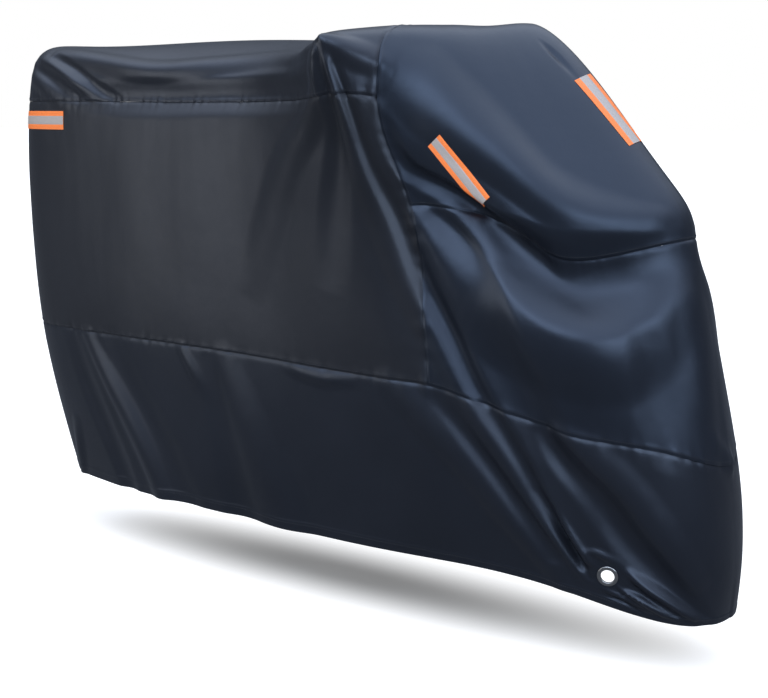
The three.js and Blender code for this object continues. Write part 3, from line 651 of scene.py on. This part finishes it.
def plain_look(name, colour, roughness, metallic=0.0, grain=60, bump=0.0003):
    """A plain material with slight uneven tone and grain."""
    look, tree, shader = new_look(name, Metallic=metallic)
    spot = add_node(tree, "ShaderNodeTexCoord").outputs["Object"]
    tone = noise_of(tree, spot, grain, PLAIN_TONE_DETAIL)
    tree.links.new(toned(tree, tone, colour, PLAIN_TONES), shader.inputs["Base Color"])
    rough = range_of(tree, noise_of(tree, spot, PLAIN_ROUGH_FINER * grain, PLAIN_ROUGH_DETAIL),
                     roughness - PLAIN_ROUGH_SPREAD, roughness + PLAIN_ROUGH_SPREAD)
    tree.links.new(rough, shader.inputs["Roughness"])
    bumps = add_node(tree, "ShaderNodeBump", Height=tone, Strength=PLAIN_BUMP_STRENGTH, Distance=bump)
    tree.links.new(bumps.outputs["Normal"], shader.inputs["Normal"])
    return look


# The five panels are one fabric. Their base colours and shine tints differ as painted light: the hood and
# front get the bluest base and shine, a painted cool sheen where the front light falls. The top and skirt
# are less blue, and the side is the most neutral.
TOP = cloth_look("top_cloth", (0.0050, 0.0056, 0.0078), 0.33, (0.66, 0.77, 1.0))
SIDE = cloth_look("side_cloth", (0.0048, 0.0053, 0.0072), 0.38, (0.72, 0.81, 1.0))
HOOD = cloth_look("hood_cloth", (0.0042, 0.0052, 0.0080), 0.35, (0.56, 0.71, 1.0))
FRONT = cloth_look("front_cloth", (0.0042, 0.0052, 0.0080), 0.35, (0.58, 0.72, 1.0))
SKIRT = cloth_look("skirt_cloth", (0.0044, 0.0052, 0.0078), 0.37, (0.64, 0.76, 1.0))
THREAD = plain_look("thread", (0.016, 0.018, 0.024), 0.6, grain=400, bump=0.0001)
TAPE_THREAD = plain_look("tape_thread", (0.36, 0.09, 0.02), 0.6, grain=400, bump=0.0001)
STEEL = plain_look("eyelet_steel", (0.34, 0.345, 0.36), 0.30, metallic=1.0, grain=180, bump=0.00012)
ORANGE = plain_look("orange_band", (0.60, 0.135, 0.020), 0.5, grain=300, bump=0.0001)
SILVER = plain_look("silver_band", (0.27, 0.245, 0.235), 0.5, metallic=0.15, grain=500, bump=0.0001)

# Panels of cloth

half_back = lines(0, HOOD_SEAM - HALF_GAP, PITCH, fine_low=False)
back_columns = joined(-half_back[::-1], half_back)
half_top = joined(lines(0, GRIP_ROUND, PITCH, False, False),
                  lines(GRIP_ROUND, HOOD_SEAM - HALF_GAP, GRIP_PITCH, fine_low=False))
top_columns = joined(-half_top[::-1], half_top)
half_front = lines(HOOD_SEAM + HALF_GAP, GIRTH, PITCH, fine_high=False)
front_columns = joined(half_front, 2 * GIRTH - half_front[::-1])
starts, pitches = zip(*SKIRT_SPANS)
stops = sorted([*starts, EYELET_ROUND - WINDOW, EYELET_ROUND + WINDOW, GIRTH])
half_skirt = joined(*[lines(a, b, pitches[np.searchsorted(starts, a, side="right") - 1], False, False)
                      for a, b in zip(stops, stops[1:])])
skirt_columns = joined(-half_skirt[::-1], half_skirt)

top_rows = lines(CREST, TOP_SEAM - HALF_GAP, FINE_PITCH, fine_low=False)
side_rows = lines(TOP_SEAM + HALF_GAP, MID_SEAM - HALF_GAP, PITCH)
hood_rows = lines(CREST, HOOD_EDGE - HALF_GAP, PITCH, fine_low=False)
front_rows = lines(HOOD_EDGE + HALF_GAP, MID_SEAM - HALF_GAP, PITCH)
skirt_rows = joined(lines(MID_SEAM + HALF_GAP, EYELET_DROP - WINDOW, PITCH, fine_high=False),
                    lines(EYELET_DROP - WINDOW, EYELET_DROP + WINDOW, FINE_PITCH, False, False),
                    lines(EYELET_DROP + WINDOW, HEM_TURN, FINE_PITCH, fine_low=False),
                    lines(HEM_TURN, HEM, HEM_PITCH, fine_high=False))


def eyelet_rings(places, faces, corner_places, points):
    """Swaps the grid in each window for rings of facets round the eyelet's hole."""
    for side, (origin, across, up, _) in SEATS.items():
        middle = np.array([side * EYELET_ROUND, EYELET_DROP])
        inside = (np.abs(corner_places.mean(1) - middle) < WINDOW).all(1)
        count = len(points)
        rim = {a: b for a, b in border_edges(faces[inside], count)}
        loop = [next(iter(rim))]
        while rim[loop[-1]] != loop[0]:
            loop.append(rim[loop[-1]])
        loop = np.array(loop)
        start = points[loop]
        offset = start - origin
        angle = np.arctan2(offset @ up, offset @ across)
        radius = EYELET_RIM / 2 - RIM_OVERLAP
        circle = origin + radius * (np.cos(angle)[:, None] * across + np.sin(angle)[:, None] * up)
        ring_ids = [loop]
        for k in range(1, WINDOW_RINGS + 1):
            share = k / WINDOW_RINGS
            ring_ids.append(len(points) + np.arange(len(loop)))
            points = np.concatenate([points, start + share * (circle - start)])
            centre_places = middle + (places[loop] - middle) * (1 - share * (1 - radius / WINDOW))
            places = np.concatenate([places, centre_places])
        rings = []
        for outer, inner in zip(ring_ids, ring_ids[1:]):
            rings.append(np.column_stack([outer, np.roll(outer, -1), np.roll(inner, -1), inner]))
        rings = np.concatenate(rings)
        faces = np.concatenate([faces[~inside], rings])
        corner_places = np.concatenate([corner_places[~inside], places[rings]])
    return places, faces, corner_places, points


def cloth_panel(name, columns, rows, look, nodes, with_eyelets=False):
    """A panel of cloth over the given lines round and down, in place of its nodes."""
    places, faces, corner_places = grid(columns, rows)
    points = cloth_at(places[:, 0], places[:, 1])
    if with_eyelets:
        places, faces, corner_places, points = eyelet_rings(places, faces, corner_places, points)
        used = np.unique(faces)
        renumber = np.zeros(len(points), int)
        renumber[used] = np.arange(len(used))
        places, points, faces = places[used], points[used], renumber[faces]
    depth = np.where(places[:, 1] > HEM_TURN, HEM_DEPTH, CLOTH_DEPTH)
    points, faces, uv = thickened(points, faces, depth, corner_places, places)
    piece = add_piece(name, points, faces, [look], uv)
    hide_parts(*nodes)
    return piece


top = cloth_panel("top_cloth", top_columns, top_rows, TOP, ["top_panel"])
side = cloth_panel("side_cloth", back_columns, side_rows, SIDE, ["side_panel"])
hood = cloth_panel("hood_cloth", front_columns, hood_rows, HOOD, ["hood"])
front = cloth_panel("front_cloth", front_columns, front_rows, FRONT, ["front_panel"])
skirt = cloth_panel("skirt_cloth", skirt_columns, skirt_rows, SKIRT,
                    ["skirt", "front_skirt", "lock_strip_right", "lock_strip_left"], with_eyelets=True)

# Eyelets: a rolled rim on each face of the cloth and the barrel between

EYELET_PARTS, EYELET_TURNS = 72, 15
EYELET_CROWN, EYELET_ROUNDING, BARREL_WALL = 0.4, 0.7, 2.5


def eyelet_profile():
    """Radius and height round the section of the ring, heights from the face of the cloth."""
    hole, rim = EYELET_HOLE / 2, EYELET_RIM / 2
    middle, half = (hole + rim) / 2, (rim - hole) / 2
    crown = EYELET_DEPTH + EYELET_CROWN
    turns = [(math.cos(t), math.sin(t) ** EYELET_ROUNDING) for t in np.linspace(0, math.pi, EYELET_TURNS)]
    upper = [(middle - half * across, EYELET_CLEARANCE + crown * out) for across, out in turns]
    base = -CLOTH_DEPTH - EYELET_CLEARANCE
    lower = [(middle + half * across, base - EYELET_DEPTH * out) for across, out in turns]
    barrel = hole + BARREL_WALL
    return upper + [(barrel, EYELET_CLEARANCE), (barrel, base)] + lower


def eyelet(name, side, node):
    """A ring turned about the eyelet's middle, in place of its node."""
    origin, across, up, out = SEATS[side]
    profile = np.array(eyelet_profile())
    turns = np.linspace(0, 2 * math.pi, EYELET_PARTS, endpoint=False)
    spokes = np.cos(turns)[:, None] * across + np.sin(turns)[:, None] * up
    points = origin + profile[None, :, :1] * spokes[:, None] + profile[None, :, 1:] * out
    n = len(profile)
    i, j = np.meshgrid(range(EYELET_PARTS), range(n), indexing="ij")
    i2, j2 = (i + 1) % EYELET_PARTS, (j + 1) % n
    faces = np.stack([i * n + j, i2 * n + j, i2 * n + j2, i * n + j2], -1).reshape(-1, 4)
    piece = add_piece(name, points.reshape(-1, 3), faces, [STEEL], sharp_angle=40)
    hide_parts(node)
    return piece


eyelet_right = eyelet("eyelet_ring_right", 1, "eyelet_right")
eyelet_left = eyelet("eyelet_ring_left", -1, "eyelet_left")

# Reflective tapes: an orange band with a raised silver middle, sewn along both edges

TAPE_LIFT, TAPE_DEPTH, TAPE_EDGE_DROP, SILVER_RISE = 1.3, 1.0, 0.5, 0.35
SILVER_SHARE = 7 / 15
TAPE_ACROSS = np.array([-1, -0.94, -0.72, -0.52, -SILVER_SHARE, -SILVER_SHARE + 0.04, -0.2, 0,
                        0.2, SILVER_SHARE - 0.04, SILVER_SHARE, 0.52, 0.72, 0.94, 1])
TAPE_STITCHED = (2, len(TAPE_ACROSS) - 3)
TAPE_PITCH = 5
LAID_FROM = 90  # a hood tape is laid from so far out
TAIL_TAPE_HALF = 400
TAIL_REACH, TAIL_REACH_STEPS = 620, 125  # cloth searched for the tail tape's line, round and down
TAIL_LOW, TAIL_LOW_STEPS = 480, 71
tape_rows = []


def tape_piece(name, node, width, rows_of_points):
    """A tape through rows of points on the cloth, each row one line along it."""
    across, along = rows_of_points.shape[:2]
    points = rows_of_points.reshape(-1, 3)
    i, j = np.meshgrid(range(across - 1), range(along - 1), indexing="ij")
    first = (i * along + j).ravel()
    faces = np.column_stack([first, first + 1, first + along + 1, first + along])
    normals = corner_normals(points, faces)
    lift = np.full(len(TAPE_ACROSS), TAPE_LIFT)
    lift[np.abs(TAPE_ACROSS) < SILVER_SHARE] += SILVER_RISE
    lift[[0, -1]] -= TAPE_EDGE_DROP
    lifted = points + normals * np.repeat(lift, along)[:, None]
    steps = np.linalg.norm(np.diff(rows_of_points[across // 2], axis=0), axis=1)
    length = np.cumsum(np.concatenate([[0], steps]))
    places = np.stack(np.meshgrid(TAPE_ACROSS * width / 2, length, indexing="ij"), -1).reshape(-1, 2)
    for row in TAPE_STITCHED:
        line = slice(row * along, (row + 1) * along)
        tape_rows.append(stitch_row(lifted[line], normals[line]))
    middle = np.abs(TAPE_ACROSS[:-1] + TAPE_ACROSS[1:]) / 2 < SILVER_SHARE
    silver = np.repeat(middle, along - 1)
    depth = np.full(len(points), TAPE_DEPTH)
    lifted, all_faces, uv = thickened(lifted, faces, depth, places[faces], places)
    index = np.concatenate([silver, np.zeros(len(all_faces) - len(faces), bool)])
    looks = [ORANGE, SILVER]
    piece = add_piece(name, lifted, all_faces, looks, uv, index, sharp_angle=35)
    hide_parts(node)
    return piece


def hood_tape(name, width, start, end):
    """A straight tape laid on the hood along its own direction out."""
    def at(place):
        return bare_form(np.array([place[0]], float), np.array([place[1]], float))[0]
    along = at(end) - at(start)
    length = np.linalg.norm(along)
    along /= length
    middle = [(a + b) / 2 for a, b in zip(start, end)]
    across = at((middle[0] + 1, middle[1])) - at((middle[0] - 1, middle[1]))
    out = np.cross(along, across)
    out /= np.linalg.norm(out)
    aside = np.cross(out, along)
    centre = (at(start) + at(end)) / 2
    rows = []
    for share in TAPE_ACROSS:
        row = []
        for step in np.linspace(-0.5, 0.5, math.ceil(length / TAPE_PITCH) + 1):
            over = centre + along * step * length + aside * share * width / 2 + out * LAID_FROM
            hit = hood_tree.ray_cast(Vector(over), Vector(-out))[0]
            row.append(np.array(hit))
        rows.append(row)
    return tape_piece(f"{name}_strip", name, width, np.array(rows))


def tail_tape():
    """The tape at one height round the tail, ending on both sides at the same distance from the back."""
    reach = np.linspace(0, TAIL_REACH, TAIL_REACH_STEPS)
    drops = np.linspace(TOP_SEAM, TAIL_LOW, TAIL_LOW_STEPS)
    grid_round, grid_drop = [axis.ravel() for axis in np.meshgrid(reach, drops, indexing="ij")]
    samples = [cloth_at(side * grid_round, grid_drop).reshape(len(reach), len(drops), 3) for side in (-1, 1)]
    rows = []
    count = math.ceil(2 * TAIL_TAPE_HALF / TAPE_PITCH)
    for share in TAPE_ACROSS:
        height = TAIL_TAPE_HEIGHT + share * TAIL_TAPE_WIDTH / 2
        ends, level = [], []
        for sample in samples:
            level.append([np.interp(-height, -column[:, 2], drops) for column in sample])
            front = [np.interp(-height, -column[:, 2], column[:, 0]) for column in sample]
            ends.append(np.interp(TAIL_TAPE_FRONT, front, reach))
        rounds = np.linspace(-ends[0], ends[1], count + 1)
        drop = np.where(rounds < 0, np.interp(-rounds, reach, level[0]), np.interp(rounds, reach, level[1]))
        rows.append(cloth_at(rounds, drop))
    return tape_piece("tape_tail_strip", "tape_tail", TAIL_TAPE_WIDTH, np.array(rows))


# Stitches: a row of short threads sunk at both ends

STITCH_PITCH, STITCH_LENGTH = 5.0, 3.6
STITCH_HALF_WIDTH, STITCH_RISE, STITCH_SUNK = 0.5, 0.6, 0.3
STITCH_INSET = 6
ROW_STEP = 2
STITCH_CORNERS = 6
STITCH_SIDES = np.array([[0, 2, 1], [0, 3, 2], [0, 4, 3], [0, 1, 4],
                         [5, 1, 2], [5, 2, 3], [5, 3, 4], [5, 4, 1]])


def stitch_row(points, normals):
    """Corners of the stitches along a line of points on the cloth."""
    along = np.concatenate([[0], np.cumsum(np.linalg.norm(np.diff(points, axis=0), axis=1))])
    starts = np.arange(STITCH_PITCH / 2, along[-1] - STITCH_LENGTH, STITCH_PITCH)

    def at(values, where):
        return np.column_stack([np.interp(where, along, values[:, k]) for k in range(3)])
    first, last = at(points, starts), at(points, starts + STITCH_LENGTH)
    out = at(normals, starts + STITCH_LENGTH / 2)
    aside = np.cross(last - first, out)
    aside *= STITCH_HALF_WIDTH / np.linalg.norm(aside, axis=1)[:, None]
    middle = at(points, starts + STITCH_LENGTH / 2)
    corners = [first - STITCH_SUNK * out, middle + aside, middle + STITCH_RISE * out, middle - aside,
               middle - STITCH_SUNK * out, last - STITCH_SUNK * out]
    return np.stack(corners, 1).reshape(-1, 3)


def seam_row(start, end, across):
    """Stitches in the cloth from one place to another; across points over the row."""
    count = math.ceil(math.dist(start, end) / ROW_STEP)
    places = np.linspace(start, end, count + 1)
    points = cloth_at(*places.T)
    ahead = np.gradient(points, axis=0)
    over = cloth_at(*(places + np.array(across)).T) - points
    normals = np.cross(ahead, over)
    facing = (normals * outward(*places.T)).sum(1)
    normals *= np.where(facing < 0, -1, 1)[:, None]
    return stitch_row(points, normals / np.linalg.norm(normals, axis=1)[:, None])


def stitches(name, rows, look):
    """All the stitches of some rows as one piece."""
    points = np.concatenate(rows)
    faces = STITCH_SIDES + STITCH_CORNERS * np.arange(len(points) // STITCH_CORNERS)[:, None, None]
    return add_piece(name, points, faces.reshape(-1, 3), [look])


DOWN, ROUND = (0, 1), (1, 0)
back = HOOD_SEAM - STITCH_INSET
seam_rows = [
    seam_row((-back, TOP_SEAM - STITCH_INSET), (back, TOP_SEAM - STITCH_INSET), DOWN),
    seam_row((-GIRTH, MID_SEAM - STITCH_INSET), (GIRTH, MID_SEAM - STITCH_INSET), DOWN),
    seam_row((HOOD_SEAM, HOOD_EDGE - STITCH_INSET),
             (2 * GIRTH - HOOD_SEAM, HOOD_EDGE - STITCH_INSET), DOWN),
    seam_row((-GIRTH, HEM_TURN + STITCH_INSET), (GIRTH, HEM_TURN + STITCH_INSET), DOWN),
]
for seam in (HOOD_SEAM + STITCH_INSET, 2 * GIRTH - HOOD_SEAM - STITCH_INSET):
    seam_rows.append(seam_row((seam, STITCH_INSET), (seam, MID_SEAM - STITCH_INSET), ROUND))
seam_stitches = stitches("seam_stitches", seam_rows, THREAD)

above_ground = Vector((0, 0, REST_HEIGHT))
hood_tree = BVHTree.FromPolygons([Vector(v.co) / MM + above_ground for v in hood.data.vertices],
                                 [tuple(face.vertices) for face in hood.data.polygons])
tapes = [hood_tape(name, *laid) for name, laid in HOOD_TAPES.items()]
tail = tail_tape()
tape_stitches = stitches("tape_stitches", tape_rows, TAPE_THREAD)

# Scene: camera, light and floor

CAMERA = Vector((2.01074, -2.68291, 1.19260 - REST_HEIGHT * MM))
CAMERA_YAW, CAMERA_PITCH = 35.2826, 10.1629
FOCAL_PIXELS, IMAGE_WIDTH, SENSOR = 1350, 768, 36

camera_data = bpy.data.cameras.new("camera")
camera_data.sensor_width = SENSOR
camera_data.lens = FOCAL_PIXELS / IMAGE_WIDTH * SENSOR
camera = bpy.data.objects.new("camera", camera_data)
camera.location = CAMERA
camera.rotation_euler = (math.radians(90 - CAMERA_PITCH), 0, math.radians(CAMERA_YAW))
bpy.context.scene.collection.objects.link(camera)
bpy.context.scene.camera = camera
bpy.context.scene.view_settings.view_transform = "Standard"

# A grey floor that glows pale, and glows less under the cover as a painted soft shadow
FLOOR_HALF = 60
SHADOW_SCALE = (0.16, 1, 0)
SHADOW_START, SHADOW_END, SHADOW_GLOW, FLOOR_GLOW = 0.02, 0.25, 0.2, 1.0
floor_mesh = bpy.data.meshes.new("floor")
floor_mesh.from_pydata([(x * FLOOR_HALF, y * FLOOR_HALF, -REST_HEIGHT * MM) for x, y in
                        ((-1, -1), (1, -1), (1, 1), (-1, 1))], [], [(0, 1, 2, 3)])
floor_look = plain_look("floor", (0.28, 0.28, 0.285), 0.85, grain=3, bump=0.0001)
floor_tree = floor_look.node_tree
floor_shader = floor_tree.nodes["Principled BSDF"]
floor_shader.inputs["Emission Color"].default_value = (1, 1, 1, 1)
floor_place = add_node(floor_tree, "ShaderNodeTexCoord").outputs["Object"]
floor_place = add_node(floor_tree, "ShaderNodeVectorMath", {"operation": "MULTIPLY"},
                       i0=floor_place, i1=SHADOW_SCALE).outputs["Vector"]
floor_away = add_node(floor_tree, "ShaderNodeVectorMath", {"operation": "LENGTH"},
                      i0=floor_place).outputs["Value"]
floor_glow = range_of(floor_tree, floor_away, SHADOW_GLOW, FLOOR_GLOW, SHADOW_START, SHADOW_END, smooth=True)
floor_tree.links.new(floor_glow, floor_shader.inputs["Emission Strength"])
floor_mesh.materials.append(floor_look)
floor = bpy.data.objects.new("floor", floor_mesh)
floor.visible_glossy = False
bpy.context.scene.collection.objects.link(floor)


COOL, WARM = (0.76, 0.87, 1), (1, 0.96, 0.90)


def softbox(name, place, target, size, power, colour):
    """A rectangular lamp at a place, turned to a target; size in metres, power in watts."""
    data = bpy.data.lights.new(name, "AREA")
    data.shape = "RECTANGLE"
    data.size, data.size_y = size
    data.energy = power
    data.color = colour
    light = bpy.data.objects.new(name, data)
    light.location = place
    light.rotation_euler = (Vector(target) - Vector(place)).to_track_quat("-Z", "Y").to_euler()
    bpy.context.scene.collection.objects.link(light)


softbox("front", (3.0, -0.6, 0.35), (0.4, -0.3, -0.3), (1.0, 1.2), 16, COOL)
softbox("fill", (2.9, -1.5, 0.3), (0.4, -0.3, -0.3), (1.0, 1.0), 20, COOL)
softbox("high", (0.7, -2.9, 1.7), (0.5, -0.2, -0.3), (3.4, 2.0), 76, COOL)
softbox("side_fill", (-2.9, -3.6, 0.2), (-0.4, -0.2, -0.6), (2.6, 2.2), 46, WARM)

# Round the studio: white to look at, and as light brighter above than below.
# Behind the far side the light is dim, so that the roof stays dark.
STUDIO_GLOW = [  # share of the way from straight down to straight up, and colour
    (0.45, (0.17, 0.185, 0.21)), (0.53, (0.085, 0.093, 0.11)), (0.64, (0.12, 0.135, 0.155)),
    (0.72, (0.50, 0.56, 0.66)), (0.78, (1.05, 1.17, 1.38)), (0.86, (2.0, 2.2, 2.6)),
    (0.93, (2.3, 2.55, 2.95)),
]
DIM_WAY = (-0.71, 0.56, 0.42)
DIM_START, DIM_END, DIM_SHARE = 0.72, 0.97, 0.42
world = bpy.data.worlds.new("studio")
bpy.context.scene.world = world
world.use_nodes = True
studio = world.node_tree
shown = studio.nodes["Background"]
shown.inputs["Color"].default_value = (1, 1, 1, 1)
direction = add_node(studio, "ShaderNodeTexCoord").outputs["Generated"]
upward = add_node(studio, "ShaderNodeSeparateXYZ", Vector=direction).outputs["Z"]
glow = ramp_of(studio, range_of(studio, upward, 0, 1, start=-1), STUDIO_GLOW)
toward = add_node(studio, "ShaderNodeVectorMath", {"operation": "DOT_PRODUCT"},
                  i0=direction, i1=DIM_WAY).outputs["Value"]
dimmed = range_of(studio, toward, 1, DIM_SHARE, DIM_START, DIM_END, smooth=True)
lit = add_node(studio, "ShaderNodeBackground", Color=glow, Strength=dimmed)
looked_at = add_node(studio, "ShaderNodeLightPath").outputs["Is Camera Ray"]
both = add_node(studio, "ShaderNodeMixShader", Fac=looked_at)
studio.links.new(lit.outputs[0], both.inputs[1])
studio.links.new(shown.outputs[0], both.inputs[2])
studio.links.new(both.outputs[0], studio.nodes["World Output"].inputs["Surface"])
